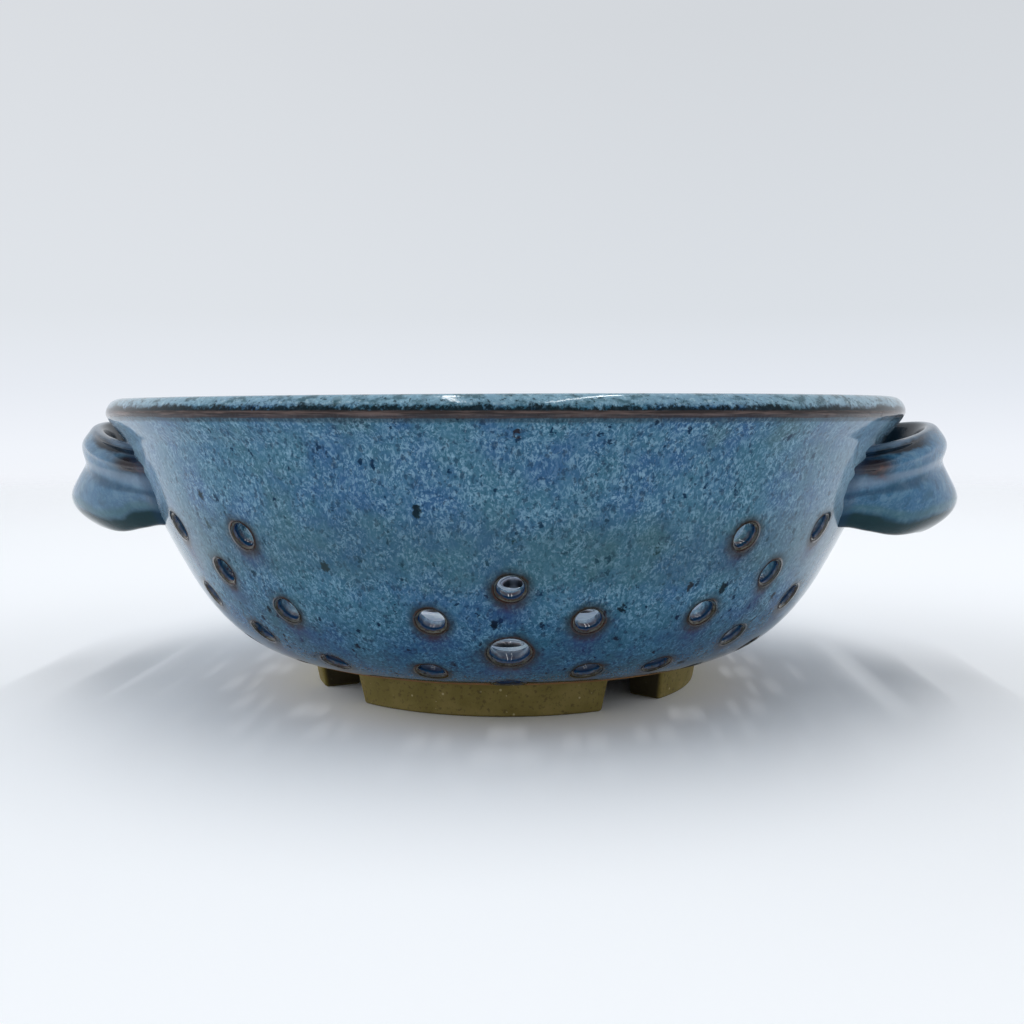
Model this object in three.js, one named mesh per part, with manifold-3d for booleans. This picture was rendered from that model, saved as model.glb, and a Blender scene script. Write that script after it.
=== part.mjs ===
// Ceramic berry bowl: a wheel-thrown stoneware strainer with two pulled lug handles, standing on a foot
// ring that is cut into four feet. Millimetres, +Z up. The origin lies on the table under the middle of
// the bowl, the handles lie along X and the front is -Y. Angles are degrees round Z from the front,
// turning towards +X.
import * as THREE from "three";
import { mergeVertices } from "three/addons/utils/BufferGeometryUtils.js";
import Module from "manifold-3d";

const wasm = await Module();
wasm.setup();

// Bowl wall, from the table up
const BELLY_RADIUS = 77;
const BELLY_HEIGHT = 28.8;
const BELLY_LEAN = 28.6; // of the wall at the belly, from upright
const BELLY_ROUNDING = 23.7; // pull of the belly's curve back along that lean
const UNDERSIDE_SLOPE = 17; // of the bare underside where it leaves the foot
const UNDERSIDE_REACH = 5; // pull of the curve along that slope
const WALL_THICKNESS = 4;
const FLOOR_THICKNESS = 4.6;
const FLOOR_RADIUS = 44; // of the flat inside

// Rim
const RIM_RADIUS = 95;
const RIM_HEIGHT = 68.8;
const LIP_WIDTH = 6.4;
const LIP_DEPTH = 3.6; // of the rounded bead along the rim
const LIP_OVERHANG = 3.8; // of the bead past the neck of the wall
const FLARE_DEPTH = 5.4; // of the flare between the neck and the bead
const LIP_TURN = 0.7; // depth over which the flare turns upright under the bead

// Foot ring
const FOOT_RADIUS = 46.8; // on the table
const FOOT_FLARE = 1.4; // how much wider it is at its top
const FOOT_WIDTH = 8.5;
const FOOT_HEIGHT = 7.5;
const FOOT_EDGE = 0.8; // wiped bevel along the table
const NOTCH_ANGLE = 20.5;
const NOTCH_FLARE = 1; // how much each side of a notch opens towards the table
const NOTCH_TURN = -4.8; // of the four notches from the diagonals
const FEET = ["front", "right", "back", "left"];

// Drain holes: rows of single holes, or of pairs that stand a spread to each side of a group's middle
const HOLE_RADIUS = 3.1;
const HOLE_GROUPS = 8;
const HOLE_TURN = 0.7; // of the first group from the front
const FRONT_SLIP = 2.9; // by which the front group was set off the even spacing
const WIDE_HOLE_RADIUS = 4.2; // of the hole in the middle of the front, opened wider than the rest
const HOLE_OVERSHOOT = 3; // of the cutting tool past each face
const TOP_ROW_HEIGHT = 41.5;
const TOP_ROW_SPREAD = 9;
const HIGH_ROW_HEIGHT = 32.9;
const MIDDLE_ROW_HEIGHT = 25.8;
const MIDDLE_ROW_SPREAD = 11.5;
const LOW_ROW_HEIGHT = 18.9;
const BELLY_ROW_HEIGHT = 13.6;
const BELLY_ROW_SPREAD = 14;
const UNDERSIDE_ROW_HEIGHT = 10;
const FLOOR_ROW_RADIUS = 27;

// Handles: straps that stand out from the wall on their two ends
const HANDLE_DROP = 18.6; // from the rim to the middle of the strap
const HANDLE_SPAN = 87; // between the middles of the two ends
const END_SPLAY = 2; // how much farther out each end is at its top, and farther in at its bottom
const FINGER_GAP = 9.6; // between the wall and the strap
const STRAP_THICKNESS = 6.5;
const STRAP_HEIGHT = 25.8; // at the middle of the handle
const STRAP_END_HEIGHT = 15.4;
const STRAP_ROUNDING = 0.75; // exponent of the section's superellipse
const LOWER_LOBE = 3.9; // how far the lower half of the strap bows out
const UPPER_LOBE = 1.2;
const LOWER_CURL = 2.7; // how far the lower edge tucks back in
const GROOVE_DEPTH = 0.5; // of the long groove between the lobes
const CREASE_DEPTH = 2.6; // of the short crease under the top edge at each end
const JOINT_GAP = 0.3; // between a handle's end and the wall

// Where those lobes and lines lie on the strap's section, and how far they spread up and down,
// as shares of its half height
const UPPER_LOBE_PLACE = 0.66;
const UPPER_LOBE_SPREAD = 0.25;
const LOWER_LOBE_PLACE = -0.4;
const LOWER_LOBE_SPREAD = 0.46;
const CURL_PLACE = -0.6;
const GROOVE_PLACE = 0.38;
const GROOVE_END_PLACE = -0.05;
const GROOVE_SPREAD = 0.16;
const CREASE_PLACE = 0.62;
const CREASE_SPREAD = 0.15;

// Facets
const BOWL_SIDES = 48;
const BELLY_STEPS = 8;
const WALL_STEPS = 5;
const FLARE_STEPS = 2;
const BEAD_STEPS = 6;
const HOLE_SIDES = 8;
const STRAP_STEPS = 24;
const STRAP_SIDES = 30;
const FOOT_STEPS = 12;
const SEARCH_STEPS = 40; // halvings that find a height on a curve

const GLAZE = new THREE.MeshStandardMaterial({ color: 0x5a7c9c, roughness: 0.2, metalness: 0 });
const CLAY = new THREE.MeshStandardMaterial({ color: 0x6b5f3e, roughness: 0.85, metalness: 0 });

const floorHeight = FOOT_HEIGHT + FLOOR_THICKNESS;
const footTopRadius = FOOT_RADIUS + FOOT_FLARE;
const beadHeight = RIM_HEIGHT - LIP_DEPTH;
const radians = THREE.MathUtils.degToRad;

function polar(radius, angle, height) {
  return new THREE.Vector3(radius * Math.sin(angle), -radius * Math.cos(angle), height);
}

// Solids: a closed geometry becomes a solid for cutting, and comes back as a geometry.
function toSolid(geometry) {
  const bare = new THREE.BufferGeometry();
  bare.setAttribute("position", geometry.getAttribute("position"));
  bare.setIndex(geometry.index);
  const merged = mergeVertices(bare);
  const corners = merged.index.array;
  const triangles = [];
  for (let i = 0; i < corners.length; i += 3) {
    const [a, b, c] = [corners[i], corners[i + 1], corners[i + 2]];
    const collapsed = a === b || b === c || c === a;
    if (!collapsed) triangles.push(a, b, c);
  }
  const mesh = new wasm.Mesh({
    numProp: 3,
    vertProperties: new Float32Array(merged.getAttribute("position").array),
    triVerts: new Uint32Array(triangles),
  });
  return new wasm.Manifold(mesh);
}

function toGeometry(solid) {
  const { vertProperties, triVerts } = solid.getMesh();
  const geometry = new THREE.BufferGeometry();
  geometry.setAttribute("position", new THREE.BufferAttribute(vertProperties, 3));
  geometry.setIndex(new THREE.BufferAttribute(triVerts, 1));
  geometry.computeVertexNormals();
  return geometry;
}

// A solid skinned over rings of points, each ring a section seen from the end it starts at.
function loft(rings) {
  const size = rings[0].length;
  const last = rings.length - 1;
  const positions = rings.flat().flatMap((point) => point.toArray());
  const triangles = [];
  for (let ring = 0; ring < last; ring += 1) {
    for (let side = 0; side < size; side += 1) {
      const a = ring * size + side;
      const b = ring * size + ((side + 1) % size);
      triangles.push(a, b, b + size, a, b + size, a + size);
    }
  }
  for (let side = 1; side < size - 1; side += 1) {
    const far = last * size;
    triangles.push(0, side + 1, side);
    triangles.push(far, far + side, far + side + 1);
  }
  const geometry = new THREE.BufferGeometry();
  geometry.setAttribute("position", new THREE.Float32BufferAttribute(positions, 3));
  geometry.setIndex(triangles);
  geometry.computeVertexNormals();
  return geometry;
}

// Bowl profile: three curves in radius and height, from the foot to the bead of the rim
const footEdge = new THREE.Vector2(footTopRadius, FOOT_HEIGHT);
const belly = new THREE.Vector2(BELLY_RADIUS, BELLY_HEIGHT);
const neck = new THREE.Vector2(RIM_RADIUS - LIP_OVERHANG, beadHeight - FLARE_DEPTH);
const beadEdge = new THREE.Vector2(RIM_RADIUS, beadHeight);
const slope = radians(UNDERSIDE_SLOPE);
const underside = new THREE.Vector2(Math.cos(slope), Math.sin(slope));
const lean = new THREE.Vector2(Math.sin(radians(BELLY_LEAN)), Math.cos(radians(BELLY_LEAN)));
const wallPull = (neck.y - belly.y) / 2 / lean.y;

const bellyCurve = new THREE.CubicBezierCurve(
  footEdge,
  footEdge.clone().addScaledVector(underside, UNDERSIDE_REACH),
  belly.clone().addScaledVector(lean, -BELLY_ROUNDING),
  belly,
);
const wallCurve = new THREE.QuadraticBezierCurve(
  belly,
  belly.clone().addScaledVector(lean, wallPull),
  neck,
);
const flareCurve = new THREE.QuadraticBezierCurve(
  neck,
  new THREE.Vector2(RIM_RADIUS, beadHeight - LIP_TURN),
  beadEdge,
);

// Points along a curve, moved off it towards the inside of the bowl.
function offsetPoints(curve, steps, inset) {
  const points = [];
  for (let i = 0; i <= steps; i += 1) {
    const tangent = curve.getTangent(i / steps);
    const inward = new THREE.Vector2(-tangent.y, tangent.x);
    points.push(curve.getPoint(i / steps).addScaledVector(inward, inset));
  }
  return points;
}

function outerPoints(inset) {
  return [
    ...offsetPoints(bellyCurve, BELLY_STEPS, inset),
    ...offsetPoints(wallCurve, WALL_STEPS, inset).slice(1),
  ];
}

// The place on the outside of the wall at a height, with the direction that leads out of it.
function wallAt(height) {
  const curve = height < BELLY_HEIGHT ? bellyCurve : wallCurve;
  let low = 0;
  let high = 1;
  for (let i = 0; i < SEARCH_STEPS; i += 1) {
    const middle = (low + high) / 2;
    if (curve.getPoint(middle).y < height) low = middle;
    else high = middle;
  }
  const tangent = curve.getTangent(low);
  return { radius: curve.getPoint(low).x, outward: new THREE.Vector2(tangent.y, -tangent.x) };
}

function turned(profile) {
  const geometry = new THREE.LatheGeometry(profile, BOWL_SIDES);
  geometry.rotateX(Math.PI / 2);
  return toSolid(geometry);
}

function beadPoints() {
  const half = LIP_WIDTH / 2;
  const bead = new THREE.EllipseCurve(RIM_RADIUS - half, beadHeight, half, LIP_DEPTH, 0, Math.PI);
  return bead.getPoints(BEAD_STEPS);
}

function thrownBowl() {
  const inside = outerPoints(WALL_THICKNESS).filter((p) => p.y > floorHeight && p.x > FLOOR_RADIUS);
  const profile = [
    new THREE.Vector2(0, FOOT_HEIGHT),
    ...outerPoints(0),
    ...flareCurve.getPoints(FLARE_STEPS).slice(1),
    ...beadPoints().slice(1),
    ...inside.reverse(),
    new THREE.Vector2(FLOOR_RADIUS, floorHeight),
    new THREE.Vector2(0, floorHeight),
  ];
  return turned(profile);
}

// The filled outside of the bowl, grown by a clearance, that trims what is joined to its wall.
function wallTrim(clearance) {
  const top = RIM_HEIGHT + clearance;
  const profile = [
    new THREE.Vector2(0, FOOT_HEIGHT - clearance),
    ...outerPoints(-clearance),
    ...offsetPoints(flareCurve, FLARE_STEPS, -clearance).slice(1),
    new THREE.Vector2(RIM_RADIUS + clearance, top),
    new THREE.Vector2(0, top),
  ];
  return turned(profile);
}

// A round tool through the clay, from a point on its outer face along the direction into it.
function holeTool(start, outward, depth, radius) {
  const length = depth + 2 * HOLE_OVERSHOOT;
  const tool = new THREE.CylinderGeometry(radius, radius, length, HOLE_SIDES);
  tool.applyQuaternion(new THREE.Quaternion().setFromUnitVectors(new THREE.Vector3(0, 1, 0), outward));
  const middle = start.clone().addScaledVector(outward, -depth / 2);
  tool.translate(middle.x, middle.y, middle.z);
  return toSolid(tool);
}

function wallHole(height, angle, holeRadius = HOLE_RADIUS) {
  const { radius, outward } = wallAt(height);
  const direction = polar(outward.x, angle, outward.y);
  return holeTool(polar(radius, angle, height), direction, WALL_THICKNESS, holeRadius);
}

function floorHole(radius, angle) {
  const down = new THREE.Vector3(0, 0, -1);
  return holeTool(polar(radius, angle, FOOT_HEIGHT), down, FLOOR_THICKNESS, HOLE_RADIUS);
}

function drainHoles() {
  const tools = [floorHole(0, 0)];
  for (let group = 0; group < HOLE_GROUPS; group += 1) {
    const atFront = group === 0;
    const onDiagonal = group % 2 === 1;
    const slip = atFront ? FRONT_SLIP : 0;
    const middle = radians(HOLE_TURN + slip + (group * 360) / HOLE_GROUPS);
    const pair = (height, spread) => {
      tools.push(wallHole(height, middle - radians(spread)));
      tools.push(wallHole(height, middle + radians(spread)));
    };
    if (onDiagonal) pair(TOP_ROW_HEIGHT, TOP_ROW_SPREAD);
    tools.push(wallHole(HIGH_ROW_HEIGHT, middle));
    pair(MIDDLE_ROW_HEIGHT, MIDDLE_ROW_SPREAD);
    tools.push(wallHole(LOW_ROW_HEIGHT, middle, atFront ? WIDE_HOLE_RADIUS : HOLE_RADIUS));
    pair(BELLY_ROW_HEIGHT, BELLY_ROW_SPREAD);
    tools.push(wallHole(UNDERSIDE_ROW_HEIGHT, middle));
    tools.push(floorHole(FLOOR_ROW_RADIUS, middle));
  }
  return tools;
}

function bowlGeometry() {
  let bowl = thrownBowl();
  for (const tool of drainHoles()) bowl = bowl.subtract(tool);
  return toGeometry(bowl);
}

// Handle: sections of the strap along half an ellipse, from one end in the wall to the other
const handleHeight = RIM_HEIGHT - HANDLE_DROP;
const handleReach = wallAt(handleHeight).radius + FINGER_GAP + STRAP_THICKNESS / 2;
const lowestWall = wallAt(handleHeight - STRAP_END_HEIGHT / 2).radius;
const handleRoot = Math.sqrt(lowestWall ** 2 - (HANDLE_SPAN / 2) ** 2) - WALL_THICKNESS;

function rounded(value) {
  return Math.sign(value) * Math.abs(value) ** STRAP_ROUNDING;
}

function bump(place, middle, width) {
  return Math.exp(-(((place - middle) / width) ** 2));
}

// How far the strap's section is bowed out, and how deep its lines are, at a place up its height. Fullness
// is 1 at the middle of the handle and 0 at its ends.
function strapBow(rise, fullness) {
  const upper = UPPER_LOBE * bump(rise, UPPER_LOBE_PLACE, UPPER_LOBE_SPREAD);
  const lower = LOWER_LOBE * bump(rise, LOWER_LOBE_PLACE, LOWER_LOBE_SPREAD);
  return (upper + lower) * fullness;
}

function strapCurl(rise, fullness) {
  const share = Math.max(0, CURL_PLACE - rise) / (1 + CURL_PLACE);
  return LOWER_CURL * share ** 2 * fullness;
}

function strapLines(rise, fullness) {
  const place = THREE.MathUtils.lerp(GROOVE_END_PLACE, GROOVE_PLACE, fullness);
  const groove = GROOVE_DEPTH * bump(rise, place, GROOVE_SPREAD);
  const crease = CREASE_DEPTH * bump(rise, CREASE_PLACE, CREASE_SPREAD) * (1 - fullness);
  return groove + crease;
}

// One point of the section: how far out of the strap's middle line, how high, and how far it is splayed
// along the wall. The lower half keeps its height for longer towards the ends than the upper half. The inner
// face follows half of the bow, so the lobes are thicker than the edges.
function strapPoint(angle, fullness) {
  const rise = rounded(Math.sin(angle));
  const heightShare = rise < 0 ? 1 - (1 - fullness) ** 2 : fullness;
  const height = THREE.MathUtils.lerp(STRAP_END_HEIGHT, STRAP_HEIGHT, heightShare);
  const across = rounded(Math.cos(angle));
  const bowShare = 1 + Math.min(0, across) / 2;
  const bow = strapBow(rise, fullness) * bowShare - strapCurl(rise, fullness);
  const lines = strapLines(rise, fullness) * Math.max(0, across);
  const out = (across * STRAP_THICKNESS) / 2 + bow - lines;
  return { out, up: (rise * height) / 2, splay: END_SPLAY * rise };
}

function strapRing(sweep) {
  const fullness = Math.cos(sweep) ** 2;
  const rise = handleReach - handleRoot;
  const half = HANDLE_SPAN / 2;
  const place = new THREE.Vector3(handleRoot + rise * Math.cos(sweep), half * Math.sin(sweep), handleHeight);
  const outward = new THREE.Vector3(half * Math.cos(sweep), rise * Math.sin(sweep), 0).normalize();
  const ring = [];
  for (let side = 0; side < STRAP_SIDES; side += 1) {
    const { out, up, splay } = strapPoint((side / STRAP_SIDES) * 2 * Math.PI, fullness);
    const shift = new THREE.Vector3(0, splay * Math.sin(sweep), up);
    ring.push(place.clone().addScaledVector(outward, out).add(shift));
  }
  return ring;
}

function handleGeometry() {
  const rings = [];
  for (let step = 0; step <= STRAP_STEPS; step += 1) {
    rings.push(strapRing((0.5 - step / STRAP_STEPS) * Math.PI));
  }
  const strap = toSolid(loft(rings));
  return toGeometry(strap.subtract(wallTrim(JOINT_GAP)));
}

// Foot: one arc of the ring, with a bevel along the table and ends that open towards it
function footGeometry(middle) {
  const inner = FOOT_RADIUS - FOOT_WIDTH;
  const halfArc = 180 / FEET.length - NOTCH_ANGLE / 2;
  const section = [
    new THREE.Vector2(footTopRadius, FOOT_HEIGHT),
    new THREE.Vector2(FOOT_RADIUS, FOOT_EDGE),
    new THREE.Vector2(FOOT_RADIUS - FOOT_EDGE, 0),
    new THREE.Vector2(inner + FOOT_EDGE, 0),
    new THREE.Vector2(inner, FOOT_EDGE),
    new THREE.Vector2(inner, FOOT_HEIGHT),
  ];
  const rings = [];
  for (let step = 0; step <= FOOT_STEPS; step += 1) {
    const share = (2 * step) / FOOT_STEPS - 1;
    const ring = section.map((corner) => {
      const opening = NOTCH_FLARE * (1 - corner.y / FOOT_HEIGHT);
      return polar(corner.x, radians(middle + share * (halfArc - opening)), corner.y);
    });
    rings.push(ring);
  }
  return loft(rings);
}

function piece(name, geometry, material) {
  const mesh = new THREE.Mesh(geometry, material);
  mesh.name = name;
  return mesh;
}

const berryBowl = new THREE.Group();
berryBowl.add(piece("bowl_body", bowlGeometry(), GLAZE));

const rightHandle = piece("handle_right", handleGeometry(), GLAZE);
const leftHandle = piece("handle_left", handleGeometry(), GLAZE);
leftHandle.rotation.z = Math.PI;
berryBowl.add(rightHandle, leftHandle);

FEET.forEach((name, index) => {
  const middle = NOTCH_TURN + (index * 360) / FEET.length;
  berryBowl.add(piece(`foot_${name}`, footGeometry(middle), CLAY));
});

export default berryBowl;
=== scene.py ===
import math
from functools import partialmethod
from types import SimpleNamespace

import bpy
import numpy as np
from mathutils import Matrix, Vector
from mathutils.geometry import delaunay_2d_cdt


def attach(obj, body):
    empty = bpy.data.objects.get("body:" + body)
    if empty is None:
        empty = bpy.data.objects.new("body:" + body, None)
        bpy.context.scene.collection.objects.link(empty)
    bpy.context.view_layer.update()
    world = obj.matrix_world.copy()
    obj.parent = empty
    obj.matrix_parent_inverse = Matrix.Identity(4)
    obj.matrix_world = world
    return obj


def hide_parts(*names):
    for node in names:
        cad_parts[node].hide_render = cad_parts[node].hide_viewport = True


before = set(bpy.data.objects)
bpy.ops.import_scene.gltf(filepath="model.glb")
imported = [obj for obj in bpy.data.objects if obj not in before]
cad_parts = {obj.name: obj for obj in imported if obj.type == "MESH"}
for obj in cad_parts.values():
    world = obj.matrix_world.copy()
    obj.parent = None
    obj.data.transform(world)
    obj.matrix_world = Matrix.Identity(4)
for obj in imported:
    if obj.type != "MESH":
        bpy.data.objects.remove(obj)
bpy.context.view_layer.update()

# Sizes in millimetres, angles in degrees round Z from the front (-Y) towards +X, as in the part.
MM = 0.001
TAU = 2 * math.pi

# Bowl
BELLY = (77, 28.8)  # radius and height at which the belly turns into the wall
BELLY_LEAN = 28.6
BELLY_ROUNDING = 23.7
UNDERSIDE_SLOPE = 17
UNDERSIDE_REACH = 5
WALL_THICKNESS = 4
FLOOR_HEIGHT = 12.1
FLOOR_FILLET = 3.0  # softness of the turn from the floor into the wall
FLOOR_RADIUS = 62  # beyond it, the inside is the wall alone
RIM_RADIUS = 95
RIM_HEIGHT = 68.8
LIP_WIDTH = 6.4
LIP_DEPTH = 3.6
LIP_OVERHANG = 3.8
FLARE_DEPTH = 5.4
LIP_TURN = 0.7
FOOT_TOP_RADIUS = 48.2
FOOT_HEIGHT = 7.5

# Unevenness of the thrown bowl
UNEVEN_FROM = 8  # height
# waves round the bowl: how many, how large, and turned by how many radians
OUTLINE_WAVES = (2, 0.0022, 0.9), (3, 0.0010, 2.0)  # as shares of the radius
RIM_WAVES = (1, 0.22, -0.25), (2, 0.10, 0.4)
SHRINKING = 0.001
RIPPLE, RIPPLE_PITCH, RIPPLE_TOP = 0.10, 6.5, 60  # throwing rings, stronger inside
INNER_FROM = 3.5  # depth in the wall
OUTER_RIPPLE = 0.25
RIM_DROP = 0.08

# Drain holes
BORE = 2.4  # radius inside the glaze
WIDE_BORE = 3.7
MOUTH, MOUTH_DEPTH = 0.9, 1.25  # rounding of the outer mouth, across and into the wall
INNER_MOUTH, INNER_DEPTH = 1.6, 2.45  # and of the inner mouth
HOLE_GROUPS = 8
HOLE_TURN = 0.7
FRONT_SLIP = 2.9
TOP_ROW, TOP_SPREAD = 41.5, 9
HIGH_ROW = 32.9
MIDDLE_ROW, MIDDLE_SPREAD = 25.8, 11.5
LOW_ROW = 18.9
BELLY_ROW, BELLY_SPREAD = 13.6, 14
UNDERSIDE_ROW = 10
FLOOR_ROW_RADIUS = 27
RUN_LENGTH, RUN_CHANGE = 5.5, 3.5  # of the glaze under a hole

# Handles
HANDLE_HEIGHT = 50.2
HANDLE_HALF = 43.5
HANDLE_REACH = 100.2
HANDLE_ROOT = 67.9
STRAP_THICKNESS = 6.5
STRAP_HEIGHT = 25.8
STRAP_END_HEIGHT = 15.4
STRAP_SQUARENESS = 0.75
END_SPLAY = 2
END_SAG = 1.5  # how far the lower edge hangs down near the wall
END_TUCK = 4.5  # how far it draws in along the wall
HANDLE_SUNK = 1.6  # how deep the ends reach into the wall
JOIN_FLARE = 1.1  # how far the clay is smoothed out where it meets the wall
JOIN_REACH = 2.0
# heights of the forms on the strap's face, and depths
UPPER_ROLL, CURL, RIDGE = 1.2, 2.7, 0.8
GROOVE, CREASE, PINCH, FINGER_LINE = 0.5, 2.7, 1.1, 0.5
# reach, height of the lower roll, and whether it is turned half a circle
HANDLES = {"right": (HANDLE_REACH + 1.6, 4.1, False), "left": (HANDLE_REACH - 1.4, 4.7, True)}

# Feet
FOOT_RADIUS = 46.8
FOOT_WIDTH = 8.5
FOOT_EDGE = 0.8
FOOT_TOP_EDGE = 0.15
FOOT_END_EDGE = 0.7
NOTCH_ANGLE = 20.5
NOTCH_FLARE = 1
NOTCH_TURN = -4.8
# what the knife took off each end of a foot, more than the others or less
FOOT_CUTS = {"front": (-1.1, -0.7), "right": (0, 0.4), "back": (0.3, -0.3), "left": (-0.4, 2.2)}

# Mesh fineness
SPACING = 2.0  # between points on the pierced walls
TOP_SIDES = 288
BORE_SIDES = 28
PIERCED_TOP, INNER_TOP = 50.5, 52.0  # heights of the pierced part of the wall, outside and inside
SEAM = 202.5  # angle of the seam, between two groups of holes
SEAM_TURN = math.radians(SEAM - 360)
SEAM_CLEARANCE = 0.4  # part of a side
COLLARS = (0, 0.6, 1.5, 2.6)  # rings of points round a hole
COLLAR_CLEARANCE = 3.2
RING_DEEPEST, RING_HIGHEST = -12.0, 4.0  # where a hole's ring is looked for along its axis
HALVINGS = 40  # in a search
CLOSEST = 1e-7  # points of a triangulation
CURVE_STEPS = 160, 120, 40  # underside, wall and flare
BASE_STEPS, FLOOR_STEPS, BEAD_STEPS = 60, 240, 40
RIM_SAMPLES, RIM_SOFTENING, RIM_ROWS = 400, 12, 64
LIP_START, LIP_FINENESS = 57.5, 3.2  # height from which the rows are closer, and how much
MOUTH_TURNS = np.radians([14, 28, 42, 56, 73, 90])  # rows of a rounded mouth
HANDLE_LINES, HANDLE_STEPS = 144, 150
LEAST_SWEEP = 0.2  # radians from a handle's middle, where its ends are looked for
HANDLE_EVENNESS = 0.62  # the rest of the steps gather at the ends
FOOT_EDGE_STEPS, FOOT_END_STEPS, FOOT_STEPS = 6, 7, 40
FOOT_FACE_STEPS = 0.2, 0.4, 0.6, 0.8


def smoothstep(low, high, value):
    share = np.clip((value - low) / (high - low), 0, 1)
    return share * share * (3 - 2 * share)


def bell(value, middle, width):
    return np.exp(-(((value - middle) / width) ** 2))


def bezier(points, steps):
    share = np.linspace(0, 1, steps)[:, None]
    rows = [np.array(p, float)[None, :] for p in points]
    while len(rows) > 1:
        rows = [a + (b - a) * share for a, b in zip(rows, rows[1:])]
    return rows[0]


def polar(radius, angle, height):
    return np.stack([radius * np.sin(angle), -radius * np.cos(angle), height + 0 * radius], -1)


def from_axis(points):
    return np.hypot(points[..., 0], points[..., 1])


def circle(sides):
    return np.arange(sides) / sides * TAU


def running(steps):
    """The length up to each point, from the steps between them."""
    return np.concatenate([[0], np.cumsum(steps)])


def tangents(points):
    along = np.gradient(points, axis=0)
    return along / np.linalg.norm(along, axis=1)[:, None]


# Profile of the bowl, in radius and height
def outer_curves():
    slope, lean = math.radians(UNDERSIDE_SLOPE), math.radians(BELLY_LEAN)
    foot = np.array([FOOT_TOP_RADIUS, FOOT_HEIGHT])
    belly = np.array(BELLY, float)
    along = np.array([math.sin(lean), math.cos(lean)])
    bead_height = RIM_HEIGHT - LIP_DEPTH
    neck = np.array([RIM_RADIUS - LIP_OVERHANG, bead_height - FLARE_DEPTH])
    pull = (neck[1] - belly[1]) / 2 / along[1]
    under = np.array([math.cos(slope), math.sin(slope)])
    curves = (
        [foot, foot + UNDERSIDE_REACH * under, belly - BELLY_ROUNDING * along, belly],
        [belly, belly + pull * along, neck],
        [neck, (RIM_RADIUS, bead_height - LIP_TURN), (RIM_RADIUS, bead_height)],
    )
    return [bezier(curve, steps) for curve, steps in zip(curves, CURVE_STEPS)]


def softened(points, rounds):
    points = points.copy()
    for _ in range(rounds):
        points[1:-1] = points[1:-1] / 2 + (points[:-2] + points[2:]) / 4
    return points


class Profile:
    """A curve in radius and height whose radius grows along it, measured by the length along it."""

    def __init__(self, points):
        self.points = points
        self.radius, self.height = points.T
        steps = np.hypot(np.diff(self.radius), np.diff(self.height))
        self.length = running(steps)
        middle = (self.radius[1:] + self.radius[:-1]) / 2
        self.stretch = running(steps / np.maximum(middle, 0.5))

    def place(self, length, angle):
        radius = np.interp(length, self.length, self.radius)
        return polar(radius, angle, np.interp(length, self.length, self.height))

    def length_at_radius(self, radius):
        return np.interp(radius, self.radius, self.length)

    def height_at_radius(self, radius):
        return np.interp(radius, self.radius, self.height)

    def flat(self, length, angle):
        """The point on a sheet without distortion of angles, for the triangulation."""
        return np.stack([angle, np.interp(length, self.length, self.stretch)], -1)


LOWER, WALL, FLARE = outer_curves()
OUTSIDE = np.concatenate([LOWER, WALL[1:]])


def outside_profile():
    radius = np.linspace(BORE + MOUTH, FOOT_TOP_RADIUS, BASE_STEPS)[:-1]
    base = np.stack([radius, np.full_like(radius, FOOT_HEIGHT)], 1)
    shown = OUTSIDE[OUTSIDE[:, 1] <= PIERCED_TOP]
    return Profile(np.concatenate([base, shown]))


def inside_points():
    along = tangents(OUTSIDE)
    wall = OUTSIDE + WALL_THICKNESS * np.stack([-along[:, 1], along[:, 0]], 1)
    radius = np.linspace(BORE + INNER_MOUTH, FLOOR_RADIUS, FLOOR_STEPS)
    start = (wall[0, 1] - wall[1, 1]) / (wall[0, 0] - wall[1, 0])
    rising = np.interp(radius, wall[:, 0], wall[:, 1])
    rising = np.where(radius < wall[0, 0], wall[0, 1] + start * (radius - wall[0, 0]), rising)
    blend = np.maximum(FLOOR_FILLET - np.abs(rising - FLOOR_HEIGHT), 0) / FLOOR_FILLET
    height = np.maximum(rising, FLOOR_HEIGHT) + blend**2 * FLOOR_FILLET / 4
    return np.concatenate([np.stack([radius, height], 1), wall[wall[:, 0] > FLOOR_RADIUS + 0.1]])


INSIDE = inside_points()
OUTER = outside_profile()
INNER = Profile(INSIDE[INSIDE[:, 1] <= INNER_TOP])


def wall_radius(height):
    return np.interp(height, OUTSIDE[:, 1], OUTSIDE[:, 0])


def wall_outward(height):
    """Radial and upward parts of the direction out of the wall."""
    along = tangents(OUTSIDE)
    return np.interp(height, OUTSIDE[:, 1], along[:, 1]), -np.interp(height, OUTSIDE[:, 1], along[:, 0])


class Hole:
    """A drain hole, by the middle of its outer mouth and its axis out of the bowl."""

    def __init__(self, radius, height, angle, outward, bore):
        self.angle = math.radians(angle)
        self.bore = bore
        self.centre = polar(np.array(radius), self.angle, height)
        self.out = polar(np.array(outward[0]), self.angle, outward[1])
        self.side = np.array([math.cos(self.angle), math.sin(self.angle), 0])
        self.up = np.cross(self.out, self.side)
        if self.up[2] < 0:
            self.up = -self.up

    def ring(self, profile, distance):
        """Points of a profile's surface at a distance from the hole's axis."""
        turn = circle(BORE_SIDES)[:, None]
        start = self.centre + distance * (np.cos(turn) * self.side + np.sin(turn) * self.up)
        low, high = np.full(BORE_SIDES, RING_DEEPEST), np.full(BORE_SIDES, RING_HIGHEST)
        for _ in range(HALVINGS):
            middle = (low + high) / 2
            point = start + middle[:, None] * self.out
            above = point[:, 2] > profile.height_at_radius(from_axis(point))
            low, high = np.where(above, middle, low), np.where(above, high, middle)
        return start + low[:, None] * self.out

    def on_sheet(self, profile, points):
        angle = np.arctan2(points[:, 0], -points[:, 1])
        angle = self.angle + (angle - self.angle + math.pi) % TAU - math.pi
        return profile.length_at_radius(from_axis(points)), angle


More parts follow.
